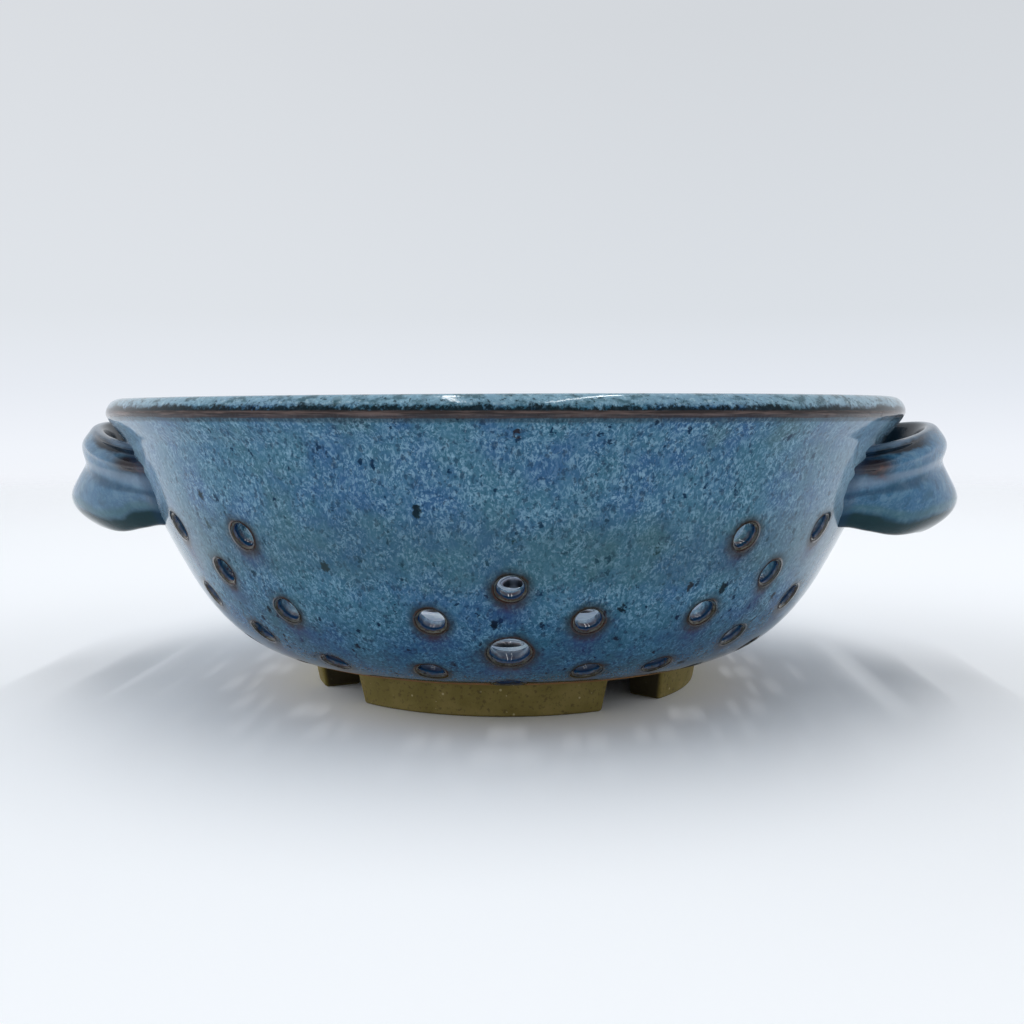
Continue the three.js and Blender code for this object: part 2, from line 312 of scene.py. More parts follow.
def all_holes():
    holes = []

    def wall_hole(height, angle, bore=BORE):
        angle = math.degrees((math.radians(angle) - SEAM_TURN) % TAU + SEAM_TURN)
        holes.append(Hole(wall_radius(height), height, angle, wall_outward(height), bore))

    for group in range(HOLE_GROUPS):
        front = group == 0
        middle = HOLE_TURN + (FRONT_SLIP if front else 0) + group * 360 / HOLE_GROUPS
        pairs = [(MIDDLE_ROW, MIDDLE_SPREAD), (BELLY_ROW, BELLY_SPREAD)]
        if group % 2:
            pairs.append((TOP_ROW, TOP_SPREAD))
        for height, spread in pairs:
            wall_hole(height, middle - spread)
            wall_hole(height, middle + spread)
        wall_hole(HIGH_ROW, middle)
        wall_hole(LOW_ROW, middle, WIDE_BORE if front else BORE)
        wall_hole(UNDERSIDE_ROW, middle)
        angle = (middle - (SEAM - 360)) % 360 + SEAM - 360
        holes.append(Hole(FLOOR_ROW_RADIUS, FOOT_HEIGHT, angle, (0, -1), BORE))
    return holes


HOLES = all_holes()


class Builder:
    """Collects points and faces of one mesh."""

    def __init__(self):
        self.points = []
        self.faces = []

    def add(self, points):
        first = len(self.points)
        self.points.extend(points)
        return list(range(first, len(self.points)))

    def face(self, points, flip=False):
        self.faces.append(tuple(points[::-1] if flip else points))

    def bands(self, rows, flip=False):
        """Faces between rows of points that close on themselves."""
        for one, other in zip(rows, rows[1:]):
            for i in range(len(one)):
                j = (i + 1) % len(one)
                self.face((one[i], one[j], other[j], other[i]), flip)

    def mesh(self, name, marks):
        """The mesh, with a number at each point for each mark."""
        mesh = bpy.data.meshes.new(name)
        mesh.from_pydata((np.array(self.points) * MM).tolist(), [], self.faces)
        mesh.validate()
        mesh.shade_smooth()
        for label, values in marks.items():
            numbers = np.ascontiguousarray(values, np.float32)
            mesh.attributes.new(label, "FLOAT", "POINT").data.foreach_set("value", numbers)
        return mesh


def pierced_sheet(builder, profile, mouth, flip):
    """Triangles of a surface of revolution, left open at the holes.
    Returns the points of its first and last circle, and of each hole."""
    last = profile.length[-1]
    rows = np.linspace(0, last, max(2, int(round(last / SPACING))) + 1)
    lengths, angles, owners, edges = [], [], [], []

    def put(length, angle, owner=-1):
        lengths.append(length)
        angles.append(angle)
        owners.append(owner)
        return len(lengths) - 1

    left, right, borders = [], [], []
    for number, row in enumerate(rows):
        radius = np.interp(row, profile.length, profile.radius)
        border = number in (0, len(rows) - 1)
        sides = int(round(TAU * radius / SPACING))
        if border:
            sides = TOP_SIDES if number else BORE_SIDES
        shift = 0 if border or number % 2 else 0.5
        left.append(put(row, SEAM_TURN))
        inner = []
        for i in range(1, sides):
            angle = SEAM_TURN + (i + shift) / sides * TAU
            if angle < SEAM_TURN + TAU - SEAM_CLEARANCE / sides * TAU:
                inner.append((row, angle))
        if border:
            line = [left[-1], *(put(*p) for p in inner), put(row, SEAM_TURN + TAU)]
            right.append(line[-1])
            edges.extend(zip(line, line[1:]))
            borders.append(line[:-1])
        else:
            right.append(put(row, SEAM_TURN + TAU))
            where = np.array(inner)
            places = profile.place(where[:, 0], where[:, 1])
            clear = np.ones(len(where), bool)
            for hole in HOLES:
                centre = hole.ring(profile, 0.01)[0]
                clear &= np.linalg.norm(places - centre, axis=1) > hole.bore + mouth + COLLAR_CLEARANCE
            for p in where[clear]:
                put(*p)
    edges.extend(zip(left, left[1:]))
    edges.extend(zip(right, right[1:]))
    rings = []
    for number, hole in enumerate(HOLES):
        for collar in COLLARS:
            points = hole.ring(profile, hole.bore + mouth + collar)
            owner = -1 if collar else number
            ring = [put(a, b, owner) for a, b in zip(*hole.on_sheet(profile, points))]
            if not collar:
                rings.append(ring)
                edges.extend(zip(ring, ring[1:] + ring[:1]))
    lengths, angles = np.array(lengths), np.array(angles)
    flat = [Vector(p) for p in profile.flat(lengths, angles)]
    _, _, triangles, sources, _, _ = delaunay_2d_cdt(flat, edges, [], 0, CLOSEST)
    name = builder.add(profile.place(lengths, angles))
    for a, b in zip(left, right):
        name[b] = name[a]
    for triangle in triangles:
        a, b, c = (sources[v][0] for v in triangle)
        if owners[a] < 0 or not owners[a] == owners[b] == owners[c]:
            builder.face((name[a], name[b], name[c]), flip)
    return [[name[v] for v in line] for line in borders], [[name[v] for v in ring] for ring in rings]


def rim_rows():
    """Radius and height of rows from the outer wall, over the bead and down the inside."""
    bead = np.linspace(0, math.pi, BEAD_STEPS)[1:]
    half = LIP_WIDTH / 2
    across = RIM_RADIUS - half + half * np.cos(bead)
    height = RIM_HEIGHT - LIP_DEPTH + LIP_DEPTH * np.sin(bead)
    outer = OUTSIDE[OUTSIDE[:, 1] > PIERCED_TOP]
    inner = INSIDE[INSIDE[:, 1] > INNER_TOP][::-1]
    over = np.stack([across, height], 1)
    path = np.concatenate([OUTER.points[-1:], outer, FLARE[1:], over, inner, INNER.points[-1:]])
    length = running(np.hypot(*np.diff(path, axis=0).T))
    even = np.linspace(0, length[-1], RIM_SAMPLES)
    path = softened(np.stack([np.interp(even, length, column) for column in path.T], 1), RIM_SOFTENING)
    fineness = np.where(path[:, 1] > LIP_START, LIP_FINENESS, 1.0)
    weight = running(fineness[1:])
    number = np.arange(RIM_SAMPLES)
    pick = np.interp(np.linspace(0, weight[-1], RIM_ROWS), weight, number)
    return np.stack([np.interp(pick, number, column) for column in path.T], 1)[1:-1]


def bowl_mesh():
    builder = Builder()
    (first_out, last_out), rings_out = pierced_sheet(builder, OUTER, MOUTH, False)
    (first_in, last_in), rings_in = pierced_sheet(builder, INNER, INNER_MOUTH, True)

    def level_row(radius, height, sides):
        return builder.add(polar(np.full(sides, radius), SEAM_TURN + circle(sides), np.full(sides, height)))

    rim = [level_row(radius, height, TOP_SIDES) for radius, height in rim_rows()]
    builder.bands([last_out] + rim + [last_in])

    # bores: a rounded mouth on each face, with a waist between them
    for hole, first, last in zip(HOLES, rings_out, rings_in):
        outer, inner = [first], [last]
        for angle in MOUTH_TURNS:
            across, along = 1 - math.sin(angle), 1 - math.cos(angle)
            ring = hole.ring(OUTER, hole.bore + MOUTH * across)
            outer.append(builder.add(ring - MOUTH_DEPTH * along * hole.out))
            ring = hole.ring(INNER, hole.bore + INNER_MOUTH * across)
            inner.insert(0, builder.add(ring + INNER_DEPTH * along * hole.out))
        builder.bands(outer + inner, flip=True)

    # the hole in the middle of the floor
    rows = [first_out]
    ends = (
        (FOOT_HEIGHT, MOUTH, MOUTH_DEPTH, MOUTH_TURNS),
        (FLOOR_HEIGHT, INNER_MOUTH, -INNER_DEPTH, MOUTH_TURNS[::-1]),
    )
    for base, mouth, depth, angles in ends:
        for angle in angles:
            radius, height = BORE + mouth * (1 - math.sin(angle)), base + depth * (1 - math.cos(angle))
            rows.append(level_row(radius, height, BORE_SIDES))
    builder.bands(rows + [first_in], flip=True)

    points = np.array(builder.points)
    holes_near, runs = hole_marks(points)
    marks = {"hole_edge": holes_near, "glaze_run": runs, "lining": inside_face(points)}
    builder.points = handmade(points)
    return builder.mesh("bowl_body_shell", marks)


def inside_face(points):
    """1 on the inside of the bowl, 0 on the outside and 0 to 1 through the holes."""
    radius = from_axis(points)
    outer = np.interp(radius, OUTSIDE[:, 0], OUTSIDE[:, 1])
    inner = np.interp(radius, INSIDE[:, 0], INSIDE[:, 1])
    return smoothstep(0.22, 0.38, (points[:, 2] - outer) / (inner - outer))


def hole_marks(points):
    """How far each point is from the nearest bore, and how much of a glaze run lies on it."""
    far, through, outer_face = 50.0, 9, 5  # no hole near, and depths along a hole's axis
    nearest = np.full(len(points), far)
    runs = np.zeros(len(points))
    for number, hole in enumerate(HOLES):
        offset = points - hole.centre
        deep = offset @ hole.out
        side, up = offset @ hole.side, offset @ hole.up
        distance = np.hypot(side, up) - hole.bore
        nearest = np.where(np.abs(deep) < through, np.minimum(nearest, distance), nearest)
        length = RUN_LENGTH + RUN_CHANGE * math.sin(number * 2.4)
        fall = smoothstep(-hole.bore - length - 2, -hole.bore - 0.5, up) * (up < 0.5)
        width = hole.bore * (1.0 + 0.25 * math.sin(number * 1.7))
        outside = (deep >= -WALL_THICKNESS / 2) & (np.abs(deep) < outer_face)
        run = fall * bell(side, 0.5 * math.sin(number * 3.1), width) * outside
        runs = np.maximum(runs, run)
    centre = from_axis(points) - BORE
    nearest = np.where(points[:, 2] < FLOOR_HEIGHT + 1, np.minimum(nearest, centre), nearest)
    return nearest, runs


def waves(angle, table):
    return sum(height * np.sin(count * angle + turn) for count, height, turn in table)


def handmade(points):
    """The small unevenness of a thrown bowl: growing towards the rim, nothing at the foot."""
    angle = np.arctan2(points[:, 0], -points[:, 1])
    radius, height = from_axis(points), points[:, 2]
    share = smoothstep(UNEVEN_FROM, RIM_HEIGHT, height)
    swell = 1 + share * waves(angle, OUTLINE_WAVES) - share * SHRINKING
    inside = radius < wall_radius(height) - INNER_FROM
    ripple = RIPPLE * np.sin(height / RIPPLE_PITCH * TAU + angle) * share * (height < RIPPLE_TOP)
    swell = swell + np.where(inside, ripple, OUTER_RIPPLE * ripple) / np.maximum(radius, 20)
    out = points.copy()
    out[:, :2] *= swell[:, None]
    out[:, 2] += share * (waves(angle, RIM_WAVES) - RIM_DROP)
    return out


def rounded(value):
    return np.sign(value) * np.abs(value) ** STRAP_SQUARENESS


def strap_section(turn, fullness, roll):
    """Out of the strap's middle line, up, and along the wall, round its section.
    Places on the face go from -1 at its lower edge to 1 at its upper edge."""
    rise, across = rounded(np.sin(turn)), rounded(np.cos(turn))
    ends = 1 - fullness
    share = np.where(rise < 0, 1 - ends**2, fullness)
    height = STRAP_END_HEIGHT + (STRAP_HEIGHT - STRAP_END_HEIGHT) * share
    bow = (UPPER_ROLL * bell(rise, 0.66, 0.25) + roll * bell(rise, -0.4, 0.46)) * fullness
    curl = CURL * (np.maximum(0, -0.6 - rise) / 0.4) ** 2 * fullness
    groove = GROOVE * bell(rise, -0.05 + 0.43 * fullness, 0.16)
    crease = CREASE * bell(rise, np.minimum(0.9, 0.66 + 0.42 * fullness), 0.12) * ends
    ridge = RIDGE * bell(rise, 0.42 + 0.58 * fullness, 0.10) * smoothstep(0.1, 0.7, ends)
    pinch = PINCH * bell(rise, 0.20, 0.15) * smoothstep(0.45, 0.95, ends)
    line = FINGER_LINE * bell(rise, -0.13 + 0.40 * fullness, 0.055) * smoothstep(0.15, 0.55, ends)
    out = across * STRAP_THICKNESS / 2 + bow * (1 + np.minimum(0, across) / 2) - curl
    out = out - (groove + crease + pinch + line - ridge) * np.maximum(0, across)
    hang = smoothstep(0.3, 0.75, ends) * (1 - 0.5 * smoothstep(0.85, 1, ends))
    sag = END_SAG * hang * np.maximum(0, -rise)
    tuck = END_TUCK * ends * smoothstep(0.1, -0.7, rise)
    return out, rise * height / 2 - sag, END_SPLAY * rise - tuck


def strap_points(turn, sweep, reach, roll):
    fullness = np.cos(sweep) ** 2
    depth = reach - HANDLE_ROOT
    out, up, splay = strap_section(turn, fullness, roll)
    direction = np.stack([HANDLE_HALF * np.cos(sweep), depth * np.sin(sweep)], -1)
    direction /= np.linalg.norm(direction, axis=-1)[..., None]
    level = np.full_like(sweep, HANDLE_HEIGHT)
    middle = np.stack([HANDLE_ROOT + depth * np.cos(sweep), HANDLE_HALF * np.sin(sweep), level], -1)
    points = middle.copy()
    points[..., :2] += direction * out[..., None]
    points[..., 1] += splay * np.sin(sweep)
    points[..., 2] += up
    return points, middle


def off_wall(points):
    height = points[..., 2]
    return (from_axis(points) - wall_radius(height)) * wall_outward(height)[0]


def handle_mesh(name, reach, roll, half_turn):
    turn = circle(HANDLE_LINES)
    low, high = np.full(HANDLE_LINES, LEAST_SWEEP), np.full(HANDLE_LINES, math.pi / 2)
    for _ in range(HALVINGS):
        sweep = (low + high) / 2
        outside = off_wall(strap_points(turn, sweep, reach, roll)[0]) > -HANDLE_SUNK
        low, high = np.where(outside, sweep, low), np.where(outside, high, sweep)
    share = np.linspace(-1, 1, HANDLE_STEPS)
    share = HANDLE_EVENNESS * share + (1 - HANDLE_EVENNESS) * np.sin(share * math.pi / 2)
    builder = Builder()
    rows, marks = [], []
    for part in share:
        sweep = part * low
        points, middle = strap_points(turn, sweep, reach, roll)
        away = off_wall(points)
        spread = points - middle
        spread /= np.linalg.norm(spread, axis=1)[:, None]
        grow = JOIN_FLARE * np.exp(-np.maximum(away, 0) / JOIN_REACH) * smoothstep(0.7, -0.3, np.sin(turn))
        points = points + spread * grow[:, None]
        if half_turn:
            points[:, :2] *= -1
        rows.append(builder.add(points))
        marks.append((np.sin(turn), np.cos(turn), np.cos(sweep) ** 2, away))
    builder.bands(rows)
    builder.face(rows[0], flip=True)
    builder.face(rows[-1])
    columns = np.concatenate(marks, axis=1)
    return builder.mesh(name, dict(zip(("strap_rise", "strap_out", "strap_full", "off_wall"), columns)))


def foot_section():
    """Radius and height of the points round a foot, with its edges rounded."""
    inner = FOOT_RADIUS - FOOT_WIDTH
    top, floor = FOOT_HEIGHT, 0
    corners = np.array([(FOOT_TOP_RADIUS, top), (FOOT_RADIUS, floor), (inner, floor), (inner, top)], float)
    section = []
    for k, edge in enumerate((FOOT_TOP_EDGE, FOOT_EDGE, FOOT_EDGE, FOOT_TOP_EDGE)):
        before, here, after = corners[k - 1], corners[k], corners[(k + 1) % 4]
        start = here + (before - here) / np.linalg.norm(before - here) * edge
        end = here + (after - here) / np.linalg.norm(after - here) * edge
        section.extend(bezier([start, here, end], FOOT_EDGE_STEPS))
        section.extend(end + (after - end) * f for f in FOOT_FACE_STEPS)
    return np.array(section)


def foot_mesh(name, middle, less_start, less_end):
    section = foot_section()
    centre = section.mean(0)
    spread = section - centre
    size = np.linalg.norm(spread, axis=1)[:, None]
    arc = math.radians(45 - NOTCH_ANGLE / 2) * FOOT_RADIUS
    edge = FOOT_END_EDGE
    turn = np.linspace(0, math.pi / 2, FOOT_END_STEPS)
    along = np.concatenate([
        -arc + edge * (1 - np.cos(turn)),
        np.linspace(-arc + edge, arc - edge, FOOT_STEPS)[1:-1],
        arc - edge * (1 - np.cos(turn[::-1])),
    ])
    builder = Builder()
    rows = []
    for place in along:
        left = arc - abs(place)
        cut = less_start * (1 - place / arc) / 2 - less_end * (1 + place / arc) / 2
        inset = edge - math.sqrt(max(0, edge**2 - max(0, edge - left) ** 2))
        ring = centre + spread * np.maximum(0.2, 1 - inset / size)
        ring[:, 1] = np.clip(ring[:, 1], 0, FOOT_HEIGHT)
        opening = NOTCH_FLARE * (1 - ring[:, 1] / FOOT_HEIGHT) * place / arc
        angle = np.radians(middle) + (place + cut) / FOOT_RADIUS - np.radians(opening)
        rows.append(builder.add(polar(ring[:, 0], angle, ring[:, 1])))
    builder.bands(rows, flip=True)
    builder.face(rows[0])
    builder.face(rows[-1], flip=True)
    return builder.mesh(name, {})


# Colours of the mottled glaze
ROYAL, TEAL, MID, OLIVE = "#2d5b85", "#386a81", "#467692", "#3d6164"
PALE, INK, NAVY, IRON, RUST = "#88b0c7", "#052846", "#03213f", "#020e15", "#241a1c"
# of the wall: painted shade low down and behind the handles, a painted reflection at the sides
LOW_WALL_SHADE, LOW_SPECK_SHADE, BELT, SIDE_SHEEN_TINT, BEHIND_HANDLE_SHADE = "#6fb6cb", "#031528", "#34565a", "#93aabb", "#07141f"
MILK = "#a9b4c9", "#b4c6cf"
# of the holes
RUN, HALO, BROWN_RING = ("#1f3361", "#3a1f2b"), "#182329", ("#3a2015", "#2a2218")
# of the holes, with painted shade in the drains
GREY_TURN, BLUE_BORE = ("#413f34", "#66645a"), ("#082a50", "#0c3f5e")
DRAIN_SHADE_AND_RIM, LOW_HOLE_SHADE = ("#0c0d12", "#4a3230"), "#0c2340"
# of the lip
LIP_TOP, LIP_CLOUD, LIP_GLINT, LIP_EDGE = "#8cb0c0", "#284e58", "#b3cbd4", "#08110f"
LIP_BREAK, LIP_SHADE, LIP_SEAM = ("#3a3332", "#695a56"), "#2a1f21", "#1d2a30"
# of the handles, with painted shade and painted highlights
STRAP, STRAP_POOL, STRAP_LIGHT, STRAP_DARK, LEFT_STRAP_LIGHT = "#34678b", "#22556e", "#6b91a8", "#1f4d68", "#8b9ca8"
MOSS, LOWER_EDGE_SHADE, CREST_HIGHLIGHT, HOLLOW_SHADE, CREASE_SHADE = "#41686a", "#193539", "#55606f", "#050a10", "#050d18"
CROWN_HIGHLIGHT, DARK_LINE, BROWN_PINCH, JOIN = "#93a1b2", "#15304a", ("#2c1c18", "#5f3826"), "#1d3b58"
# of the bare clay, with painted shade under the bowl and on the inner faces of the feet
CLAY_BODY, CLAY_STREAK, GROG, PORES = ("#73662f", "#867742"), "#72652f", "#cfc293", "#463c1b"
GLAZE_EDGE, TOASTED, CLAY_UNDER_BOWL_SHADE, WORN, FOOT_INNER_SHADE = "#231a18", "#8a5a34", "#2a1f10", "#5a4e2a", "#1f180c"
# of the studio
FLOOR_TONES = "#f4f6f9", "#f6f8fa"
SKY = (-0.16, "#fbfdff"), (-0.03, "#f0f4fb"), (0.02, "#e4e9f1"), (0.08, "#dbe0e6"), (0.30, "#d3d7dc")
TENT_SIDE, TENT_FRONT = "#f6f8fc", "#b9bdc3"
FILL_COLOR = (0.93, 0.96, 1.0, 1.0)

GLAZE_GLOSS = 0.2  # specular level of the plain glaze
GLAZE_ROUGHNESS = 0.085
CLAY_ROUGHNESS, FOOT_ROUGHNESS = 0.82, 0.85
FOOT_LEAN = 0.187  # of a foot's outer face, in radius by height


def rgb(code):
    values = [int(code[i:i + 2], 16) / 255 for i in (1, 3, 5)]
    return tuple(v / 12.92 if v <= 0.04045 else ((v + 0.055) / 1.055) ** 2.4 for v in values) + (1.0,)


class Shader:
    """Builds the nodes of one material or of the world."""

    def __init__(self, owner):
        self.owner = owner
        owner.use_nodes = True
        self.tree = owner.node_tree
        self.tree.nodes.clear()

    def node(self, kind, inputs=None, **settings):
        made = self.tree.nodes.new("ShaderNode" + kind)
        for key, value in settings.items():
            setattr(made, key, value)
        for key, value in (inputs or {}).items():
            self.feed(made.inputs[key], value)
        return made

    def feed(self, socket, value):
        if isinstance(value, bpy.types.NodeSocket):
            self.tree.links.new(value, socket)
        else:
            socket.default_value = value

    def math(self, operation, *values, clamp=False):
        return self.node("Math", dict(enumerate(values)), operation=operation, use_clamp=clamp).outputs[0]

    def chain(self, operation, first, *others):
        for other in others:
            first = self.math(operation, first, other)
        return first

    plus = partialmethod(chain, "ADD")
    times = partialmethod(chain, "MULTIPLY")
    most = partialmethod(chain, "MAXIMUM")
    minus = partialmethod(math, "SUBTRACT")
    size = partialmethod(math, "ABSOLUTE")

    def add(self, start, value, factor):
        return self.plus(start, self.times(value, factor))

    def blend(self, share, one, other):
        return self.node("Mix", {0: share, 2: one, 3: other}, data_type="FLOAT").outputs[0]

    def step(self, value, low, high):
        """0 at low, 1 at high, smooth between."""
        inputs = {"Value": value, "From Min": low, "From Max": high}
        return self.node("MapRange", inputs, interpolation_type="SMOOTHSTEP").outputs[0]

    def zone(self, value, start, full, end, gone):
        """0 up to start, 1 from full to end, 0 from gone on."""
        return self.times(self.step(value, start, full), self.step(value, gone, end))

    def mix(self, share, one, other, blend="MIX"):
        return self.node("Mix", {0: share, 6: one, 7: other}, data_type="RGBA", blend_type=blend).outputs[2]

    def pair(self, share, one, other):
        return self.mix(share, rgb(one), rgb(other))

    def place(self, kind):
        return self.node("TexCoord").outputs[kind]

    def split(self, vector):
        return self.node("SeparateXYZ", {0: vector}).outputs

    def scaled(self, vector, factors):
        return self.node("VectorMath", {0: vector, 1: factors}, operation="MULTIPLY").outputs[0]

    def moved(self, vector, other):
        return self.node("VectorMath", {0: vector, 1: other}, operation="ADD").outputs[0]

    def from_axis(self, x, y):
        return self.math("SQRT", self.plus(self.times(x, x), self.times(y, y)))

    def mark(self, name):
        return self.node("Attribute", attribute_name=name).outputs["Fac"]

    def noises(self, vector, size, detail, roughness):
        inputs = {"Vector": vector, "Scale": 1 / size, "Detail": detail, "Roughness": roughness}
        return self.node("TexNoise", inputs).outputs

    def noise(self, vector, size, detail, roughness=0.5):
        return self.noises(vector, size, detail, roughness)[0]

    def wobble(self, vector, size, detail, roughness=0.5):
        """Noise round 0."""
        return self.minus(self.noise(vector, size, detail, roughness), 0.5)

    def swirled(self, vector, by, size, detail, reach, roughness=0.5):
        """A vector moved by noise at another one, by half the reach at most."""
        color = self.noises(by, size, detail, roughness)["Color"]
        return self.moved(vector, self.scaled(self.moved(color, (-0.5,) * 3), (reach,) * 3))

    def cells(self, vector, size):
        return self.node("TexVoronoi", {"Vector": vector, "Scale": 1 / size}, feature="F1").outputs

    def bump(self, height, strength, distance):
        return self.node("Bump", {"Strength": strength, "Distance": distance, "Height": height}).outputs[0]

    def surface(self, color, roughness, normal, gloss=None):
        shader = self.node("BsdfPrincipled", {"Base Color": color, "Roughness": roughness, "Normal": normal})
        if gloss is not None:
            socket = shader.inputs["Specular IOR Level"]
            # for the export, which drops what is linked here
            socket.default_value = GLAZE_GLOSS  # the socket's own value, under the link
            self.feed(socket, gloss)
        self.node("OutputMaterial", {"Surface": shader.outputs[0]})


def new_shader(name):
    return Shader(bpy.data.materials.new(name))


class Coat:
    """A colour that others are painted over."""

    def __init__(self, shader, color):
        self.shader, self.color = shader, color

    def paint(self, other, *shares, blend="MIX"):
        """Covers it with a colour's code or socket, as far as the product of the shares goes."""
        other = rgb(other) if isinstance(other, str) else other
        self.color = self.shader.mix(self.shader.times(*shares), self.color, other, blend)


def mottled(s):
    """Coordinates in mm, the coat of floating blue glaze, and where its dark specks lie."""
    here = s.place("Object")
    mm = s.scaled(here, (1000, 1000, 1000))
    tall = s.scaled(here, (1000, 1000, 580))  # for patterns that are drawn out downwards
    flow = s.swirled(s.swirled(tall, tall, 1.5, 1, 1.3), tall, 5.5, 1, 2.6)

    # the body of the glaze: clouds of royal blue and of grey teal
    patch = s.noise(s.moved(mm, (31, 7, 55)), 12, 3, 0.6)
    cloud = s.noise(s.moved(mm, (5, 40, 9)), 3.6, 3, 0.6)
    stain = s.noise(s.moved(mm, (90, 20, 10)), 15, 3, 0.6)
    coat = Coat(s, s.pair(s.step(patch, 0.34, 0.62), ROYAL, TEAL))
    coat.paint(MID, s.step(cloud, 0.42, 0.66), 0.55)
    coat.paint(OLIVE, s.step(stain, 0.55, 0.70), 0.5)

    # pale crystals: flecks and short curled threads that come in drifts
    def threads(shift, size, width):
        wave = s.wobble(s.moved(flow, shift), size, 1)
        return s.step(s.size(wave), width, width * 0.3)

    grain = s.noise(flow, 0.60, 3, 0.65)
    broken = s.step(s.noise(s.moved(tall, (9, 9, 9)), 0.75, 1), 0.46, 0.60)
    thread = s.most(threads((0, 0, 0), 1.05, 0.075), threads((17, 3, 8), 0.85, 0.065))
    pale = s.most(s.times(thread, broken, 0.7), s.step(grain, 0.50, 0.70))
    drifts = s.step(s.noise(s.moved(mm, (60, 2, 33)), 4.5, 3, 0.65), 0.34, 0.62)
    coat.paint(PALE, pale, s.add(0.29, drifts, 0.60))
    coat.paint(INK, s.step(grain, 0.45, 0.30), 0.5)

    # dark dots between them, and larger ragged specks of iron
    torn = s.swirled(tall, mm, 1.0, 2, 1.9, 0.6)

    def dots(shift, size, share, reach, soft, ragged):
        cells = s.cells(s.moved(torn, shift), size)
        pick = s.split(cells["Color"])
        span = s.times(s.step(pick[0], 1 - share, 1.1), reach)
        span = s.add(span, s.minus(grain, 0.5), ragged)
        return s.step(s.minus(cells["Distance"], span), soft, -soft), pick[1]

    fine, _ = dots((0, 0, 0), size=1.0, share=1.0, reach=0.47, soft=0.07, ragged=0.35)
    small, _ = dots((3, 21, 6), size=2.0, share=0.56, reach=0.30, soft=0.04, ragged=0.17)
    large, kind = dots((11, 3, 5), size=6.4, share=0.85, reach=0.168, soft=0.028, ragged=0.16)
    coat.paint(INK, fine, 0.6)
    coat.paint(NAVY, small, 0.88)
    coat.paint(s.pair(s.step(kind, 0.70, 0.85), IRON, RUST), large, 0.92)
    return mm, coat, s.most(small, large)


def glaze_skin(s, mm, speck):
    """The fine ripple of the fired glaze, with pits at the specks."""
    ripple, swell = s.noise(mm, 1.5, 2, 0.6), s.noise(mm, 8, 1)
    height = s.plus(s.times(ripple, 0.16), s.times(swell, 0.30))
    return s.bump(s.minus(height, s.times(speck, 0.08)), 0.35, 0.00022)


def bare_clay(s, mm):
    """The coat of the bare clay, and where its pale grog lies."""
    coat = Coat(s, s.pair(s.step(s.noise(mm, 9, 4, 0.6), 0.35, 0.65), *CLAY_BODY))
    streak = s.noise(s.scaled(mm, (1, 1, 0.12)), 1.6, 3, 0.6)
    coat.paint(CLAY_STREAK, s.step(streak, 0.5, 0.75), 0.35)
    cells = s.cells(mm, 1.4)
    reach = s.times(s.step(s.split(cells["Color"])[0], 0.66, 1.05), 0.24)
    grog = s.step(s.minus(cells["Distance"], reach), 0.02, -0.06)
    coat.paint(GROG, grog, 0.6)
    coat.paint(PORES, s.step(s.noise(mm, 0.9, 3, 0.65), 0.47, 0.30), 0.65)
    return coat, grog


def clay_bump(s, mm, grog):
    sand = s.noise(mm, 0.55, 3, 0.65)
    rings = s.noise(s.scaled(mm, (0.08, 0.08, 1)), 0.8, 2)
    return s.bump(s.plus(s.times(sand, 0.6), s.times(rings, 0.5), s.times(grog, 0.3)), 0.5, 0.0002)


def paint_wall(s, at, coat, speck):
    # painted shade: a deeper, darker colour low on the wall, with the specks darkest there
    low = s.step(s.add(at.z, at.slow, 14), 36, 12)
    coat.paint(LOW_WALL_SHADE, low, 0.95, blend="MULTIPLY")
    coat.paint(LOW_SPECK_SHADE, low, speck, 0.85)
    coat.paint(BELT, s.zone(s.add(at.z, at.slow, 12), 30, 36, 42, 50), 0.36)

    # painted reflection: paler and greyer at the sides, where the glaze also gets more gloss
    painted_side_sheen = s.times(s.step(s.size(at.x), 50, 76), s.step(at.z, 20, 34))
    coat.paint(SIDE_SHEEN_TINT, painted_side_sheen, 0.43)

    # painted shade on the wall behind the handles, where the glaze also lies thick and dark
    painted_shade_behind = s.times(s.step(s.size(at.y), 38, 32), s.step(s.size(at.x), 70, 76))
    painted_shade_behind = s.times(painted_shade_behind, s.zone(at.z, 38, 44, 61, 64.5), at.under)
    coat.paint(BEHIND_HANDLE_SHADE, painted_shade_behind, 0.85)
    return painted_side_sheen, painted_shade_behind


def paint_lining(s, at, coat):
    """Inside, a milky pool on the floor thins out up the wall."""
    shore = s.add(s.add(at.z, at.slow, 16), at.jitter, 12)
    pool = s.times(at.lining, s.step(shore, 32, 14))
    pool = s.math("MULTIPLY", pool, s.add(0.92, at.jitter, 0.7), clamp=True)
    coat.paint(s.pair(s.step(at.slow, -0.15, 0.2), *MILK), pool, 0.85)


